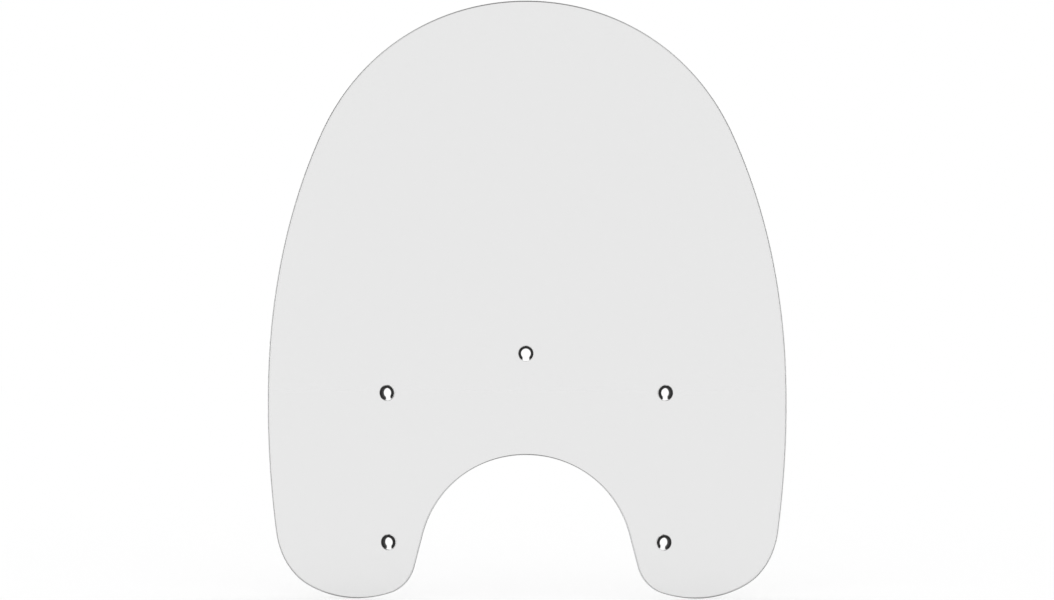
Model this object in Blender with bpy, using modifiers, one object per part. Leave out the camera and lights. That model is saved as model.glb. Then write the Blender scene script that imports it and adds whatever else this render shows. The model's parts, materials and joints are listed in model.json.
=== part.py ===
"""Motorcycle windshield screen, in metres with +Z up.

One clear plastic sheet is bent to a single radius about a vertical axis. A round headlight cutout
leaves two lobes at the bottom. Five bolt holes each hold a split bushing, a moulded black ring with
a slot, which can be turned about its hole's axis.

The origin is on the top bolt hole's axis, at the sheet's rear face. The convex front faces -Y, and
left and right are as seen from the front, so right is +X.
"""

import math

import bmesh
import bpy
from mathutils import Matrix, Vector

MM = 0.001
CHORD_ERROR = 0.05 * MM

# The sheet. Its flat pattern is drawn as x along the bend and y up from the top bolt hole.
SHEET_THICKNESS = 4.8 * MM
FRONT_RADIUS = 490 * MM
SHEET_ROUNDING = 1.0 * MM
BEND_STRIPS = 48

# From the top of the crown down the right side, arc after tangent arc: radius and degrees turned.
CROWN_HEIGHT = 374.9 * MM
CROWN = (263 * MM, 61.8)
SHOULDER = (602 * MM, 26.1)
SIDE = (830 * MM, 11.8)
OUTER_CORNER = (75 * MM, 57.0)
OUTER_ARCS = (CROWN, SHOULDER, SIDE, OUTER_CORNER)

# Along the bottom of a lobe and up to the cutout, which ends in a straight, leaning flank.
LOBE_RADIUS = 139.3 * MM
INNER_CORNER_RADIUS = 41.5 * MM
CUTOUT_RADIUS = 116.2 * MM
CUTOUT_CENTER = Vector((0, -224.2 * MM))
FLANK_LEAN = math.radians(15.2)

# The bushing, and the play between it and its hole.
BUSHING_RADIUS = 8.0 * MM
BUSHING_BORE_RADIUS = 5.2 * MM
BUSHING_SLOT_WIDTH = 7.1 * MM
BUSHING_LENGTH = 6.0 * MM
BUSHING_ROUNDING = 0.4 * MM
HOLE_RADIUS = BUSHING_RADIUS + 0.3 * MM
HOLE_SIDES = 64

# Each hole's place on the flat pattern, and the degrees by which its bushing's slot is turned from
# straight down, anticlockwise as seen from the front.
BOLT_HOLES = {
    "top_center": (0, 0, 0),
    "mid_left": (-151.8 * MM, -42.6 * MM, 9),
    "mid_right": (151.8 * MM, -42.6 * MM, 1),
    "lower_left": (-150.1 * MM, -202.6 * MM, 2),
    "lower_right": (150.1 * MM, -202.6 * MM, -10),
}

REAR_RADIUS = FRONT_RADIUS - SHEET_THICKNESS
MIDDLE_RADIUS = FRONT_RADIUS - SHEET_THICKNESS / 2
WELD_DISTANCE = 0.001 * MM
STAND_UPRIGHT = Matrix.Rotation(math.pi / 2, 3, "X")
SHARP_ANGLE = math.radians(35)


def clear_scene():
    for item in list(bpy.data.objects):
        bpy.data.objects.remove(item, do_unlink=True)


def new_collection(name):
    collection = bpy.data.collections.new(name)
    bpy.context.scene.collection.children.link(collection)
    return collection


def new_material(name, color, roughness, transmission=0.0):
    material = bpy.data.materials.new(name)
    material.use_nodes = True
    shader = material.node_tree.nodes["Principled BSDF"]
    shader.inputs["Base Color"].default_value = (*color, 1)
    shader.inputs["Roughness"].default_value = roughness
    shader.inputs["Metallic"].default_value = 0
    shader.inputs["Transmission Weight"].default_value = transmission
    return material


def polar(angle):
    return Vector((math.cos(angle), math.sin(angle)))


def arc(center, radius, start, sweep):
    """Points along an arc, all but its last, near enough together to keep to CHORD_ERROR."""
    widest_step = 2 * math.acos(1 - CHORD_ERROR / radius)
    count = max(2, math.ceil(abs(sweep) / widest_step))
    return [center + radius * polar(start + sweep * i / count) for i in range(count)]


def right_half():
    """The right half of the sheet's flat pattern, from the crown's top to the cutout's top."""
    points = []
    angle = math.pi / 2
    center = Vector((0, CROWN_HEIGHT - CROWN[0]))
    next_radii = [radius for radius, _ in OUTER_ARCS[1:]] + [LOBE_RADIUS]
    for (radius, degrees), next_radius in zip(OUTER_ARCS, next_radii):
        sweep = -math.radians(degrees)
        points += arc(center, radius, angle, sweep)
        angle += sweep
        center = center + (radius - next_radius) * polar(angle)
    lobe_center = center

    # The inner corner is tangent inside the lobe's arc and to the flank, which is tangent to the cutout.
    into_lobe = polar(FLANK_LEAN)
    down_flank = Vector((into_lobe.y, -into_lobe.x))
    highest_center = CUTOUT_CENTER + (CUTOUT_RADIUS + INNER_CORNER_RADIUS) * into_lobe
    from_lobe = highest_center - lobe_center
    along = from_lobe.dot(down_flank)
    reach = LOBE_RADIUS - INNER_CORNER_RADIUS
    flank_length = math.sqrt(along**2 - from_lobe.length_squared + reach**2) - along
    corner_center = highest_center + flank_length * down_flank

    to_corner = corner_center - lobe_center
    corner_start = math.atan2(to_corner.y, to_corner.x)
    corner_end = FLANK_LEAN - math.pi
    points += arc(lobe_center, LOBE_RADIUS, angle, corner_start - angle)
    points += arc(corner_center, INNER_CORNER_RADIUS, corner_start, corner_end - corner_start)
    points.append(corner_center - INNER_CORNER_RADIUS * into_lobe)
    points += arc(CUTOUT_CENTER, CUTOUT_RADIUS, FLANK_LEAN, math.pi / 2 - FLANK_LEAN)
    points.append(CUTOUT_CENTER + Vector((0, CUTOUT_RADIUS)))
    return points


def sheet_outline():
    right = right_half()
    left = [Vector((-point.x, point.y)) for point in reversed(right[1:-1])]
    return right + left


def bushing_outline():
    """A ring open at the bottom, where a slot with parallel sides runs out from its bore."""
    half_slot = BUSHING_SLOT_WIDTH / 2
    points = []
    for radius, direction in ((BUSHING_RADIUS, 1), (BUSHING_BORE_RADIUS, -1)):
        half_gap = math.asin(half_slot / radius)
        start = -math.pi / 2 + direction * half_gap
        sweep = direction * 2 * (math.pi - half_gap)
        points += arc(Vector((0, 0)), radius, start, sweep)
        points.append(radius * polar(start + sweep))
    return points


def plate(name, outline, thickness, rounding):
    """A mesh of the outline, filled, extruded to the thickness and rounded inside its edges.

    It stands upright: the outline's x is X, its y is Z, and the plate is centred on Y = 0.
    """
    curve = bpy.data.curves.new(name, "CURVE")
    curve.dimensions = "2D"
    curve.fill_mode = "BOTH"
    curve.extrude = thickness / 2 - rounding
    curve.bevel_depth = rounding
    curve.bevel_resolution = 1
    curve.offset = -rounding
    spline = curve.splines.new("POLY")
    spline.points.add(len(outline) - 1)
    for point, (x, y) in zip(spline.points, outline):
        point.co = (x, y, 0, 1)
    spline.use_cyclic_u = True

    guide = bpy.data.objects.new(name + "_outline", curve)
    bpy.context.scene.collection.objects.link(guide)
    graph = bpy.context.evaluated_depsgraph_get()
    mesh = bpy.data.meshes.new_from_object(guide.evaluated_get(graph))
    bpy.data.objects.remove(guide, do_unlink=True)

    shape = bmesh.new()
    shape.from_mesh(mesh)
    bmesh.ops.remove_doubles(shape, verts=shape.verts, dist=WELD_DISTANCE)
    bmesh.ops.rotate(shape, cent=(0, 0, 0), matrix=STAND_UPRIGHT, verts=shape.verts)
    bmesh.ops.recalc_face_normals(shape, faces=shape.faces)
    shape.to_mesh(mesh)
    shape.free()
    mesh.name = name
    return mesh


def cut_into_strips(mesh, count):
    """Cuts the mesh along upright lines, so that it can bend between them."""
    shape = bmesh.new()
    shape.from_mesh(mesh)
    bmesh.ops.dissolve_limit(
        shape, angle_limit=math.radians(0.5), verts=shape.verts, edges=shape.edges
    )
    half_width = max(vertex.co.x for vertex in shape.verts)
    for i in range(1, count):
        x = half_width * (2 * i / count - 1)
        everything = shape.verts[:] + shape.edges[:] + shape.faces[:]
        bmesh.ops.bisect_plane(shape, geom=everything, plane_co=(x, 0, 0), plane_no=(1, 0, 0))
    shape.to_mesh(mesh)
    shape.free()
    return half_width


def make_hole_axis(name, across, height):
    """An empty in the middle of the sheet's thickness, with Y along the hole's axis to the rear."""
    angle = across / FRONT_RADIUS
    axis = bpy.data.objects.new(name + "_axis", None)
    axis.empty_display_size = 2 * BUSHING_RADIUS
    axis.location = (
        MIDDLE_RADIUS * math.sin(angle),
        REAR_RADIUS - MIDDLE_RADIUS * math.cos(angle),
        height,
    )
    axis.rotation_euler.z = angle
    return axis


def make_cutter(name, axis, collection):
    shape = bmesh.new()
    bmesh.ops.create_cone(
        shape,
        cap_ends=True,
        segments=HOLE_SIDES,
        radius1=HOLE_RADIUS,
        radius2=HOLE_RADIUS,
        depth=4 * SHEET_THICKNESS,
    )
    mesh = bpy.data.meshes.new(name + "_hole")
    shape.to_mesh(mesh)
    shape.free()
    cutter = bpy.data.objects.new(mesh.name, mesh)
    cutter.parent = axis
    cutter.rotation_euler.x = math.pi / 2
    cutter.hide_render = True
    cutter.display_type = "WIRE"
    collection.objects.link(cutter)


def make_bushing(name, mesh, axis, slot_turn, collection):
    bushing = bpy.data.objects.new(name, mesh)
    bushing.parent = axis
    bushing.rotation_euler.y = -math.radians(slot_turn)
    collection.objects.link(bushing)


def make_screen(material, cutters, collection):
    mesh = plate("screen", sheet_outline(), SHEET_THICKNESS, SHEET_ROUNDING)
    half_width = cut_into_strips(mesh, BEND_STRIPS)
    # The front face comes to Y = 0 for the bend, so that widths along it keep their length.
    mesh.transform(Matrix.Translation((0, SHEET_THICKNESS / 2, 0)))
    mesh.materials.append(material)
    mesh.shade_smooth()
    mesh.set_sharp_from_angle(angle=SHARP_ANGLE)
    screen = bpy.data.objects.new("screen", mesh)
    screen.location.y = -SHEET_THICKNESS
    collection.objects.link(screen)

    bend = screen.modifiers.new("bend", "SIMPLE_DEFORM")
    bend.deform_method = "BEND"
    bend.deform_axis = "Z"
    bend.angle = 2 * half_width / FRONT_RADIUS
    holes = screen.modifiers.new("bolt_holes", "BOOLEAN")
    holes.operation = "DIFFERENCE"
    holes.solver = "EXACT"
    holes.operand_type = "COLLECTION"
    holes.collection = cutters


def main():
    clear_scene()
    parts = new_collection("windshield_screen")
    cutters = new_collection("windshield_screen_cutters")
    clear_plastic = new_material("clear_plastic", (0.90, 0.91, 0.91), 0.04, transmission=1.0)
    black_rubber = new_material("black_rubber", (0.03, 0.032, 0.032), 0.45)

    bushing_mesh = plate("bushing", bushing_outline(), BUSHING_LENGTH, BUSHING_ROUNDING)
    bushing_mesh.materials.append(black_rubber)
    bushing_mesh.shade_smooth()
    bushing_mesh.set_sharp_from_angle(angle=SHARP_ANGLE)
    for place, (across, height, slot_turn) in BOLT_HOLES.items():
        name = "bushing_" + place
        axis = make_hole_axis(name, across, height)
        parts.objects.link(axis)
        make_cutter(name, axis, cutters)
        make_bushing(name, bushing_mesh, axis, slot_turn, parts)
    make_screen(clear_plastic, cutters, parts)


main()
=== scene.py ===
# The looks of the windshield screen: a fine mesh of the bent clear sheet and of each split bushing, their
# materials, a pale floor, soft light and the camera. Everything is in metres, +Z up, front facing -Y.
import json
import math

import bmesh
import bpy
from mathutils import Matrix, Vector


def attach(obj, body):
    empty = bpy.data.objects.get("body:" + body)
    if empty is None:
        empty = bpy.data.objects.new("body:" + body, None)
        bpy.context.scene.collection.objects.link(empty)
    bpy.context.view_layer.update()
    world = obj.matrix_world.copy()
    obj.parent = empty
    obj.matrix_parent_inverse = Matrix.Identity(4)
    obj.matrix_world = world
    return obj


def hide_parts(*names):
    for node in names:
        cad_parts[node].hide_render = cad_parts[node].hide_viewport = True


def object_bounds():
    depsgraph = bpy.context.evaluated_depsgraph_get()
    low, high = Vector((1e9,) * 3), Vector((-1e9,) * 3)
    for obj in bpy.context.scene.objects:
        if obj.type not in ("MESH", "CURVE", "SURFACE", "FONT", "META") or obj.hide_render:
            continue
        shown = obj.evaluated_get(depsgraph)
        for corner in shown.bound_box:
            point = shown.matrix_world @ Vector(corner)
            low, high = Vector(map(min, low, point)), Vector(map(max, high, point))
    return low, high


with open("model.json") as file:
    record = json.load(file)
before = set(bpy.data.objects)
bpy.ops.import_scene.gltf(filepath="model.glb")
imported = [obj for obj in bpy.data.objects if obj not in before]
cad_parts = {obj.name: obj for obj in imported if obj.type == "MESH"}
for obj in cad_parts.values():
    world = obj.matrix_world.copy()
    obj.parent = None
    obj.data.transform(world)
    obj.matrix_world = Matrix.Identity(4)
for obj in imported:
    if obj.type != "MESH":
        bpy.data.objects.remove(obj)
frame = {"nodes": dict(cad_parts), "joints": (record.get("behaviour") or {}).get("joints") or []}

MM = 0.001
CAD_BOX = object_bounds()

# The sheet, drawn flat as in the CAD model: x along the bend and y up from the top bolt hole. The outer
# arcs are the crown, shoulder, side and outer corner, each a radius and the degrees it turns through.
SHEET_THICKNESS = 4.8 * MM
FRONT_RADIUS = 490 * MM
REAR_RADIUS = FRONT_RADIUS - SHEET_THICKNESS
CROWN_HEIGHT = 374.9 * MM
OUTER_ARCS = ((263 * MM, 61.8), (602 * MM, 26.1), (830 * MM, 11.8), (75 * MM, 57.0))
LOBE_RADIUS = 139.3 * MM
INNER_CORNER_RADIUS = 41.5 * MM
CUTOUT_RADIUS = 116.2 * MM
CUTOUT_CENTER = Vector((0, -224.2 * MM))
FLANK_LEAN = math.radians(15.2)
EDGE_ROUNDING = 1.1 * MM
EDGE_STEPS = 6
HOLE_RADIUS = 8.3 * MM
HOLE_ROUNDING = 0.3 * MM
HOLE_STEPS = 3
HOLE_SIDES = 96
DRILL_REACH = 3 * MM

# How finely the meshes follow the curves: the widest gap between an arc and its chords, the fewest chords
# in an arc, the widest flat strip of the bend, how near two vertices come before they are one, how deep
# two vertices may differ and still be on one face, the least cosine that a mitre is worked out from, and
# the angles past which the sheet's and the bushings' edges are shaded as sharp.
CHORD_ERROR = 0.004 * MM
FEWEST_ARC_STEPS = 3
STRIP_WIDTH = 4 * MM
SAME_PLACE = 0.002 * MM
SAME_DEPTH = 0.01 * MM
SHARPEST_MITRE = 0.3
SHEET_SHARP_ANGLE = math.radians(40)
BUSHING_SHARP_ANGLE = math.radians(50)

# The split bushing, with a faint ridge round it where its mould parted.
BUSHING_RADIUS = 8.0 * MM
BORE_RADIUS = 5.2 * MM
SLOT_WIDTH = 7.1 * MM
BUSHING_LENGTH = 6.0 * MM
BUSHING_ROUNDING = 0.4 * MM
BUSHING_STEPS = 5
BUSHING_CORNER = 0.45 * MM
RIDGE_HEIGHT = 0.05 * MM
RIDGE_SLOPE = 3

# The camera, level and a little to the right of straight on. The picture's width is what the camera
# takes in at the distance of the sheet's front.
CAMERA_DISTANCE = 3.0
CAMERA_YAW = math.radians(0.7)
CAMERA_HEIGHT = 0.0568
CAMERA_ASIDE = 0.0012
PICTURE_WIDTH = 1.1194
SENSOR_WIDTH = 36.0
FAR_CLIP = 100.0

# The room: an even white studio, a pale floor, and a soft sun above and behind the screen.
WORLD_LIGHT = 1.0
FLOOR_GAP = 0.5 * MM
FLOOR_SIZE = 14.0
FLOOR_GREY = 0.35
SUN_ELEVATION = math.radians(55)
SUN_AZIMUTH = math.radians(180)
SUN_STRENGTH = 1.0
SUN_SPREAD = math.radians(60)

# The sheet's edge, which is its second material slot: how far a face of the flat sheet may turn from
# straight forwards and still be no part of the edge, and from straight sideways and still be its wall.
SHEET_EDGE = 1
LEAST_FORWARD = 0.9999
MOST_FORWARD = 0.05

# How light the clear plastic's faces and edges are, and their shadows, and the painted shade that darkens
# the edge's faces.
PLASTIC_IOR = 1.49
FACE_TINT = 0.80
PAINTED_EDGE_DARKEST = 0.12
FACE_SHADOW = 0.8
EDGE_SHADOW = 0.5
WALL_PAINTED_SHADE = 0.1
OUTER_FALLOFF = 4


def grey(value):
    """An opaque grey as a colour."""
    return (value, value, value, 1)


def polar(angle):
    """The unit vector at this angle from +x."""
    return Vector((math.cos(angle), math.sin(angle)))


def arc(center, radius, start, sweep):
    """Points along an arc, all but its last, near enough together to keep to CHORD_ERROR."""
    widest_step = 2 * math.acos(1 - CHORD_ERROR / radius)
    count = max(FEWEST_ARC_STEPS, math.ceil(abs(sweep) / widest_step))
    return [center + radius * polar(start + sweep * i / count) for i in range(count)]


def right_half():
    """The right half of the sheet's flat pattern, from the crown's top to the cutout's top."""
    points = []
    angle = math.pi / 2
    center = Vector((0, CROWN_HEIGHT - OUTER_ARCS[0][0]))
    next_radii = [radius for radius, _ in OUTER_ARCS[1:]] + [LOBE_RADIUS]
    for (radius, degrees), next_radius in zip(OUTER_ARCS, next_radii):
        sweep = -math.radians(degrees)
        points += arc(center, radius, angle, sweep)
        angle += sweep
        center = center + (radius - next_radius) * polar(angle)
    lobe_center = center

    # The inner corner is tangent inside the lobe's arc and to the flank, which is tangent to the cutout.
    into_lobe = polar(FLANK_LEAN)
    down_flank = Vector((into_lobe.y, -into_lobe.x))
    highest_center = CUTOUT_CENTER + (CUTOUT_RADIUS + INNER_CORNER_RADIUS) * into_lobe
    from_lobe = highest_center - lobe_center
    along = from_lobe.dot(down_flank)
    reach = LOBE_RADIUS - INNER_CORNER_RADIUS
    flank_length = math.sqrt(along**2 - from_lobe.length_squared + reach**2) - along
    corner_center = highest_center + flank_length * down_flank

    to_corner = corner_center - lobe_center
    corner_start = math.atan2(to_corner.y, to_corner.x)
    corner_end = FLANK_LEAN - math.pi
    points += arc(lobe_center, LOBE_RADIUS, angle, corner_start - angle)
    points += arc(corner_center, INNER_CORNER_RADIUS, corner_start, corner_end - corner_start)
    points.append(corner_center - INNER_CORNER_RADIUS * into_lobe)
    points += arc(CUTOUT_CENTER, CUTOUT_RADIUS, FLANK_LEAN, math.pi / 2 - FLANK_LEAN)
    points.append(CUTOUT_CENTER + Vector((0, CUTOUT_RADIUS)))
    return points


def mirrored(right):
    """A whole outline from its right half, anticlockwise as seen from the front."""
    left = [Vector((-point.x, point.y)) for point in reversed(right[1:-1])]
    return list(reversed(right + left))


def rounded_wall(thickness, rounding, steps, ridge=0.0):
    """The profile of a plate's edge, from its front face to its rear: (distance in, depth from front)."""
    front = []
    for i in range(steps + 1):
        turn = math.pi / 2 * i / steps
        front.append((rounding * (1 - math.sin(turn)), rounding * (1 - math.cos(turn))))
    middle = thickness / 2
    foot = RIDGE_SLOPE * ridge
    land = [(0, middle - foot), (-ridge, middle), (0, middle + foot)] if ridge else []
    rear = [(inset, thickness - depth) for inset, depth in reversed(front)]
    return front + land + rear


def inward_steps(outline):
    """For each corner of an anticlockwise outline, the step that moves both its edges in by 1."""
    steps = []
    for before, here, after in zip([outline[-1]] + outline[:-1], outline, outline[1:] + [outline[0]]):
        edge_in = (here - before).normalized()
        edge_out = (after - here).normalized()
        inward = Vector((-edge_in.y - edge_out.y, edge_in.x + edge_out.x)).normalized()
        steps.append(inward / max(SHARPEST_MITRE, inward.dot(Vector((-edge_in.y, edge_in.x)))))
    return steps


def skin(shape, rings):
    """Covers a stack of rings, from its first to its last, and closes both ends."""
    for front, rear in zip(rings, rings[1:]):
        for i in range(len(front)):
            j = (i + 1) % len(front)
            shape.faces.new((front[i], rear[i], rear[j], front[j]))
    shape.faces.new(rings[0])
    shape.faces.new(list(reversed(rings[-1])))


def finished_mesh(shape, name):
    """Turns a bmesh's faces outwards and keeps it as a mesh."""
    bmesh.ops.recalc_face_normals(shape, faces=shape.faces)
    mesh = bpy.data.meshes.new(name)
    shape.to_mesh(mesh)
    shape.free()
    return mesh


def swept_plate(name, outline, profile):
    """A closed plate: the outline as front and rear faces, with the profile swept round between them."""
    shape = bmesh.new()
    steps = inward_steps(outline)
    rings = []
    for inset, depth in profile:
        ring = []
        for point, step in zip(outline, steps):
            place = point + inset * step
            ring.append(shape.verts.new((place.x, depth, place.y)))
        rings.append(ring)
    skin(shape, rings)
    return finished_mesh(shape, name)


def add_object(name, mesh):
    """Puts a mesh in the scene as an object."""
    item = bpy.data.objects.new(name, mesh)
    bpy.context.scene.collection.objects.link(item)
    return item


def hole_places():
    """Where the bolt holes are on the flat pattern, from the joints on their axes."""
    places = []
    for joint in frame["joints"]:
        x, y, z = joint["pos_m"]
        angle = math.atan2(x, REAR_RADIUS - y)
        places.append(Vector((angle * FRONT_RADIUS, z)))
    return places


def make_hole_cutter(places):
    """A drill for each bolt hole, wider where it meets a face of the sheet, to round the hole's rims."""
    shape = bmesh.new()
    rim_radius = HOLE_RADIUS + HOLE_ROUNDING
    profile = [(rim_radius, -DRILL_REACH)]
    for inset, depth in rounded_wall(SHEET_THICKNESS, HOLE_ROUNDING, HOLE_STEPS):
        profile.append((HOLE_RADIUS + inset, depth))
    profile.append((rim_radius, SHEET_THICKNESS + DRILL_REACH))
    for place in places:
        rings = []
        for radius, depth in profile:
            ring = []
            for i in range(HOLE_SIDES):
                spot = place + radius * polar(2 * math.pi * (i + 0.5) / HOLE_SIDES)
                ring.append(shape.verts.new((spot.x, depth, spot.y)))
            rings.append(ring)
        skin(shape, rings)
    return add_object("hole_cutter", finished_mesh(shape, "hole_cutter"))


def cut_into_strips(mesh):
    """Cuts the flat sheet along upright lines, so that it can bend smoothly."""
    shape = bmesh.new()
    shape.from_mesh(mesh)
    half_width = max(vertex.co.x for vertex in shape.verts)
    count = 2 * math.ceil(half_width / STRIP_WIDTH)
    for i in range(1, count):
        x = half_width * (2 * i / count - 1)
        everything = shape.verts[:] + shape.edges[:] + shape.faces[:]
        bmesh.ops.bisect_plane(shape, geom=everything, plane_co=(x, 0, 0), plane_no=(1, 0, 0))
    bmesh.ops.remove_doubles(shape, verts=shape.verts, dist=SAME_PLACE)
    shape.to_mesh(mesh)
    shape.free()


def drill(sheet, places):
    """Cuts the bolt holes and keeps the result as the sheet's own mesh."""
    cutter = make_hole_cutter(places)
    holes = sheet.modifiers.new("holes", "BOOLEAN")
    holes.operation = "DIFFERENCE"
    holes.solver = "EXACT"
    holes.object = cutter
    graph = bpy.context.evaluated_depsgraph_get()
    drilled = bpy.data.meshes.new_from_object(sheet.evaluated_get(graph))
    sheet.modifiers.clear()
    sheet.data = drilled
    bpy.data.objects.remove(cutter, do_unlink=True)


def around_bend(place):
    """Where a point of the flat sheet goes when it is bent; its y is the depth from the front face."""
    angle = place.x / FRONT_RADIUS
    radius = FRONT_RADIUS - place.y
    return Vector((radius * math.sin(angle), REAR_RADIUS - radius * math.cos(angle), place.z))


def outward(place):
    """Which way the front face looks, once bent, at a point of the flat sheet."""
    angle = place.x / FRONT_RADIUS
    return Vector((math.sin(angle), -math.cos(angle), 0))


def painted_edge_shade(polygon):
    """How much painted shade a face of the flat sheet's edge gets, from 0 to 1: shade painted into the
    edge's colour where a polished edge looks dark. The wall between the two roundings gets little. The
    roundings get most where they run level, and the painted shade fades faster outside than in the cutout."""
    across, forward, upward = polygon.normal
    if abs(forward) < MOST_FORWARD:
        return WALL_PAINTED_SHADE
    level = abs(upward) / math.hypot(across, upward)
    if across * polygon.center.x < 0:
        return level
    return level**OUTER_FALLOFF


def bend(mesh):
    """Marks the sheet's edge and its painted shade, bends the sheet, and gives its two broad faces true
    cylinders' normals.
    """
    flat = [vertex.co.copy() for vertex in mesh.vertices]
    painted_shade = mesh.attributes.new("painted_shade", "FLOAT", "FACE")
    for polygon in mesh.polygons:
        # Each face of the edge keeps how much painted shade darkens its colour.
        if abs(polygon.normal.y) < LEAST_FORWARD:
            polygon.material_index = SHEET_EDGE
            painted_shade.data[polygon.index].value = painted_edge_shade(polygon)
    for vertex, place in zip(mesh.vertices, flat):
        vertex.co = around_bend(place)
    mesh.shade_smooth()
    mesh.set_sharp_from_angle(angle=SHEET_SHARP_ANGLE)

    # A normal of zero leaves the loop its own.
    normals = [Vector((0, 0, 0))] * len(mesh.loops)
    for loop in mesh.loops:
        place = flat[loop.vertex_index]
        if place.y < SAME_DEPTH:
            normals[loop.index] = outward(place)
        elif place.y > SHEET_THICKNESS - SAME_DEPTH:
            normals[loop.index] = -outward(place)
    mesh.normals_split_custom_set(normals)


def make_sheet(face_material, edge_material):
    profile = rounded_wall(SHEET_THICKNESS, EDGE_ROUNDING, EDGE_STEPS)
    mesh = swept_plate("sheet", mirrored(right_half()), profile)
    cut_into_strips(mesh)
    sheet = add_object("clear_sheet", mesh)
    drill(sheet, hole_places())
    bend(sheet.data)
    sheet.data.materials.append(face_material)
    sheet.data.materials.append(edge_material)
    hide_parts("screen")
    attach(sheet, "screen")


def bushing_outline():
    """A ring with a slot at the bottom and rounded corners, anticlockwise as seen from the front."""
    across = SLOT_WIDTH / 2 + BUSHING_CORNER
    outer_reach = BUSHING_RADIUS - BUSHING_CORNER
    bore_reach = BORE_RADIUS + BUSHING_CORNER
    outer_corner = Vector((across, -math.sqrt(outer_reach**2 - across**2)))
    bore_corner = Vector((across, -math.sqrt(bore_reach**2 - across**2)))
    outer_angle = math.atan2(outer_corner.y, outer_corner.x)
    bore_angle = math.atan2(bore_corner.y, bore_corner.x)

    center = Vector((0, 0))
    right = arc(center, BUSHING_RADIUS, math.pi / 2, outer_angle - math.pi / 2)
    right += arc(outer_corner, BUSHING_CORNER, outer_angle, -math.pi - outer_angle)
    right.append(outer_corner - Vector((BUSHING_CORNER, 0)))
    right += arc(bore_corner, BUSHING_CORNER, -math.pi, bore_angle)
    right += arc(center, BORE_RADIUS, bore_angle, math.pi / 2 - bore_angle)
    right.append(Vector((0, BORE_RADIUS)))
    return mirrored(right)


def make_bushing_mesh(material):
    """The bushing with its axis along Y, its middle at the origin and its slot downwards."""
    profile = rounded_wall(BUSHING_LENGTH, BUSHING_ROUNDING, BUSHING_STEPS, RIDGE_HEIGHT)
    mesh = swept_plate("split_bushing", bushing_outline(), profile)
    mesh.transform(Matrix.Translation((0, -BUSHING_LENGTH / 2, 0)))
    mesh.materials.append(material)
    mesh.shade_smooth()
    mesh.set_sharp_from_angle(angle=BUSHING_SHARP_ANGLE)
    return mesh


def place_in_hole(joint):
    """A bushing's place: Y along its hole's axis and Z away from its slot, read from its CAD node."""
    node = frame["nodes"][joint["child"]]
    center = Vector(joint["pos_m"])
    rearward = Vector(joint["axis"]).normalized()
    corners = node.data.vertices
    mean = sum((vertex.co for vertex in corners), Vector()) / len(corners)
    from_slot = mean - center
    up = (from_slot - from_slot.dot(rearward) * rearward).normalized()
    side = rearward.cross(up)
    turned = Matrix((side, rearward, up)).transposed()
    return Matrix.Translation(center) @ turned.to_4x4()


def make_bushings(material):
    mesh = make_bushing_mesh(material)
    for joint in frame["joints"]:
        body = joint["child"]
        bushing = add_object("split_" + body, mesh)
        bushing.matrix_world = place_in_hole(joint)
        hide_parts(body)
        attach(bushing, body)


def new_material(name):
    """A material with nodes, its node tree and its shader."""
    material = bpy.data.materials.new(name)
    material.use_nodes = True
    tree = material.node_tree
    return material, tree, tree.nodes["Principled BSDF"]


def noise(tree, scale, detail, squeeze=(1, 1, 1)):
    """Noise fixed to the object, with scale in features per metre, more of them along a squeezed axis."""
    coordinates = tree.nodes.new("ShaderNodeTexCoord")
    mapping = tree.nodes.new("ShaderNodeMapping")
    mapping.inputs["Scale"].default_value = squeeze
    texture = tree.nodes.new("ShaderNodeTexNoise")
    texture.inputs["Scale"].default_value = scale
    texture.inputs["Detail"].default_value = detail
    tree.links.new(coordinates.outputs["Object"], mapping.inputs["Vector"])
    tree.links.new(mapping.outputs["Vector"], texture.inputs["Vector"])
    return texture.outputs["Fac"]


def ramp(tree, value, start, end, low, high):
    """Takes a value from between start and end to between low and high."""
    node = tree.nodes.new("ShaderNodeMapRange")
    node.inputs["From Min"].default_value = start
    node.inputs["From Max"].default_value = end
    node.inputs["To Min"].default_value = low
    node.inputs["To Max"].default_value = high
    tree.links.new(value, node.inputs["Value"])
    return node.outputs["Result"]


def combine(tree, operation, first, second):
    """Adds or multiplies two values."""
    node = tree.nodes.new("ShaderNodeMath")
    node.operation = operation
    tree.links.new(first, node.inputs[0])
    tree.links.new(second, node.inputs[1])
    return node.outputs["Value"]


def set_bump(tree, shader, height, depth):
    """Gives the shader a surface relief of the given depth."""
    bump = tree.nodes.new("ShaderNodeBump")
    bump.inputs["Distance"].default_value = depth
    tree.links.new(height, bump.inputs["Height"])
    tree.links.new(bump.outputs["Normal"], shader.inputs["Normal"])


def make_clear(tree, shader, shadow_tint):
    """Makes the shader clear plastic, and lets lamps' light pass straight through it with a tint."""
    shader.inputs["IOR"].default_value = PLASTIC_IOR
    shader.inputs["Transmission Weight"].default_value = 1
    path = tree.nodes.new("ShaderNodeLightPath")
    clear = tree.nodes.new("ShaderNodeBsdfTransparent")
    clear.inputs["Color"].default_value = grey(shadow_tint)
    mix = tree.nodes.new("ShaderNodeMixShader")
    output = tree.nodes["Material Output"]
    tree.links.new(path.outputs["Is Shadow Ray"], mix.inputs["Fac"])
    tree.links.new(shader.outputs["BSDF"], mix.inputs[1])
    tree.links.new(clear.outputs["BSDF"], mix.inputs[2])
    tree.links.new(mix.outputs["Shader"], output.inputs["Surface"])


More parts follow.
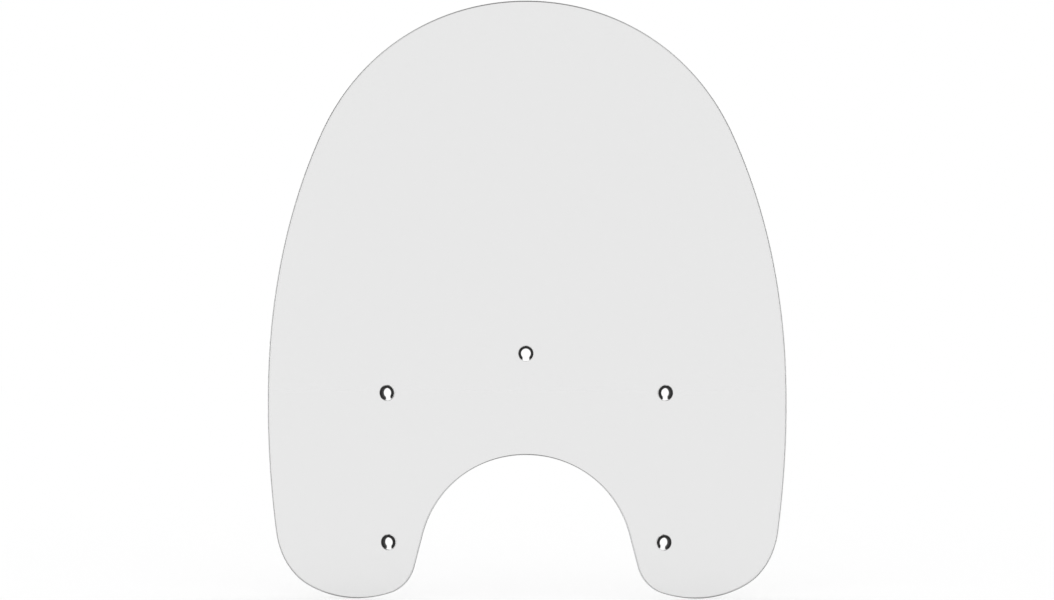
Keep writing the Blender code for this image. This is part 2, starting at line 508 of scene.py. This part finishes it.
def clear_plastic():
    """The broad faces: polished, very slightly wavy, with hairline wiping marks and a little dust."""
    material, tree, shader = new_material("clear_plastic")
    shader.inputs["Base Color"].default_value = grey(FACE_TINT)
    make_clear(tree, shader, FACE_SHADOW)
    wiping = noise(tree, scale=9, detail=6, squeeze=(1, 1, 60))
    hairlines = ramp(tree, wiping, start=0.62, end=0.70, low=0, high=0.06)
    haze = ramp(tree, noise(tree, scale=25, detail=4), start=0.35, end=0.75, low=0.012, high=0.035)
    dust = ramp(tree, noise(tree, scale=2200, detail=1), start=0.78, end=0.80, low=0, high=0.2)
    roughness = combine(tree, "ADD", combine(tree, "ADD", hairlines, haze), dust)
    tree.links.new(roughness, shader.inputs["Roughness"])
    set_bump(tree, shader, noise(tree, scale=12, detail=1), 0.05 * MM)
    return material


def satin_edge_painted_shade():
    """The edges: satin, with fine marks along them, and darkened by the painted shade that their faces
    carry.
    """
    material, tree, shader = new_material("satin_edge_painted_shade")
    make_clear(tree, shader, EDGE_SHADOW)
    painted_shade = tree.nodes.new("ShaderNodeAttribute")
    painted_shade.attribute_name = "painted_shade"
    fine_marks = noise(tree, scale=1500, detail=3, squeeze=(1, 8, 1))
    marks = ramp(tree, fine_marks, start=0.3, end=0.7, low=0.95, high=1.05)
    # Painted shade: the edge's colour goes from the faces' tint down to nearly black as its painted shade
    # grows.
    painted_edge_colour = ramp(tree, painted_shade.outputs["Fac"], start=0, end=1, low=FACE_TINT, high=PAINTED_EDGE_DARKEST)
    tree.links.new(combine(tree, "MULTIPLY", painted_edge_colour, marks), shader.inputs["Base Color"])
    roughness = ramp(tree, noise(tree, scale=400, detail=4), start=0.3, end=0.7, low=0.28, high=0.42)
    tree.links.new(roughness, shader.inputs["Roughness"])
    set_bump(tree, shader, noise(tree, scale=3000, detail=2, squeeze=(1, 6, 1)), 0.01 * MM)
    return material


def black_rubber():
    """Moulded black rubber: a fine grain, duller worn patches and a few pale scuffs."""
    material, tree, shader = new_material("black_rubber")
    wear = noise(tree, scale=350, detail=5)
    rubbing = noise(tree, scale=900, detail=6, squeeze=(1, 1, 4))
    scuffs = ramp(tree, rubbing, start=0.68, end=0.78, low=0, high=0.03)
    base = ramp(tree, wear, start=0.3, end=0.7, low=0.009, high=0.016)
    tree.links.new(combine(tree, "ADD", base, scuffs), shader.inputs["Base Color"])
    roughness = ramp(tree, wear, start=0.3, end=0.7, low=0.38, high=0.58)
    tree.links.new(roughness, shader.inputs["Roughness"])
    shader.inputs["Specular IOR Level"].default_value = 0.25
    set_bump(tree, shader, noise(tree, scale=6000, detail=3), 0.02 * MM)
    return material


def make_world():
    world = bpy.data.worlds.new("white_studio")
    world.use_nodes = True
    background = world.node_tree.nodes["Background"]
    background.inputs["Color"].default_value = grey(1)
    background.inputs["Strength"].default_value = WORLD_LIGHT
    bpy.context.scene.world = world
    bpy.context.scene.view_settings.view_transform = "Standard"


def make_sun():
    data = bpy.data.lights.new("soft_key", "SUN")
    data.energy = SUN_STRENGTH
    data.angle = SUN_SPREAD
    sun = add_object("soft_key", data)
    flat = Vector((math.sin(SUN_AZIMUTH), -math.cos(SUN_AZIMUTH), 0)) * math.cos(SUN_ELEVATION)
    towards_sun = flat + Vector((0, 0, math.sin(SUN_ELEVATION)))
    sun.rotation_euler = towards_sun.to_track_quat("Z", "Y").to_euler()


def make_floor():
    """A pale floor, lit from within like a light table, so that it is as bright as the studio round it."""
    lowest, _ = CAD_BOX
    bpy.ops.mesh.primitive_plane_add(size=FLOOR_SIZE, location=(0, 0, lowest[2] - FLOOR_GAP))
    floor = bpy.context.object
    floor.name = "floor"
    material, _, shader = new_material("pale_floor")
    lit = FLOOR_GREY * (WORLD_LIGHT + SUN_STRENGTH * math.sin(SUN_ELEVATION) / math.pi)
    shader.inputs["Base Color"].default_value = grey(FLOOR_GREY)
    shader.inputs["Roughness"].default_value = 1
    shader.inputs["Specular IOR Level"].default_value = 0
    shader.inputs["Emission Color"].default_value = grey(1)
    shader.inputs["Emission Strength"].default_value = WORLD_LIGHT - lit
    floor.data.materials.append(material)


def make_camera():
    data = bpy.data.cameras.new("camera")
    data.sensor_width = SENSOR_WIDTH
    data.lens = SENSOR_WIDTH * CAMERA_DISTANCE / PICTURE_WIDTH
    data.clip_end = FAR_CLIP
    camera = add_object("camera", data)
    camera.location = (
        CAMERA_ASIDE + CAMERA_DISTANCE * math.sin(CAMERA_YAW),
        -CAMERA_DISTANCE * math.cos(CAMERA_YAW) - SHEET_THICKNESS,
        CAMERA_HEIGHT,
    )
    camera.rotation_euler = (math.pi / 2, 0, CAMERA_YAW)
    bpy.context.scene.camera = camera


make_camera()
make_world()
make_sun()
make_floor()
make_sheet(clear_plastic(), satin_edge_painted_shade())
make_bushings(black_rubber())
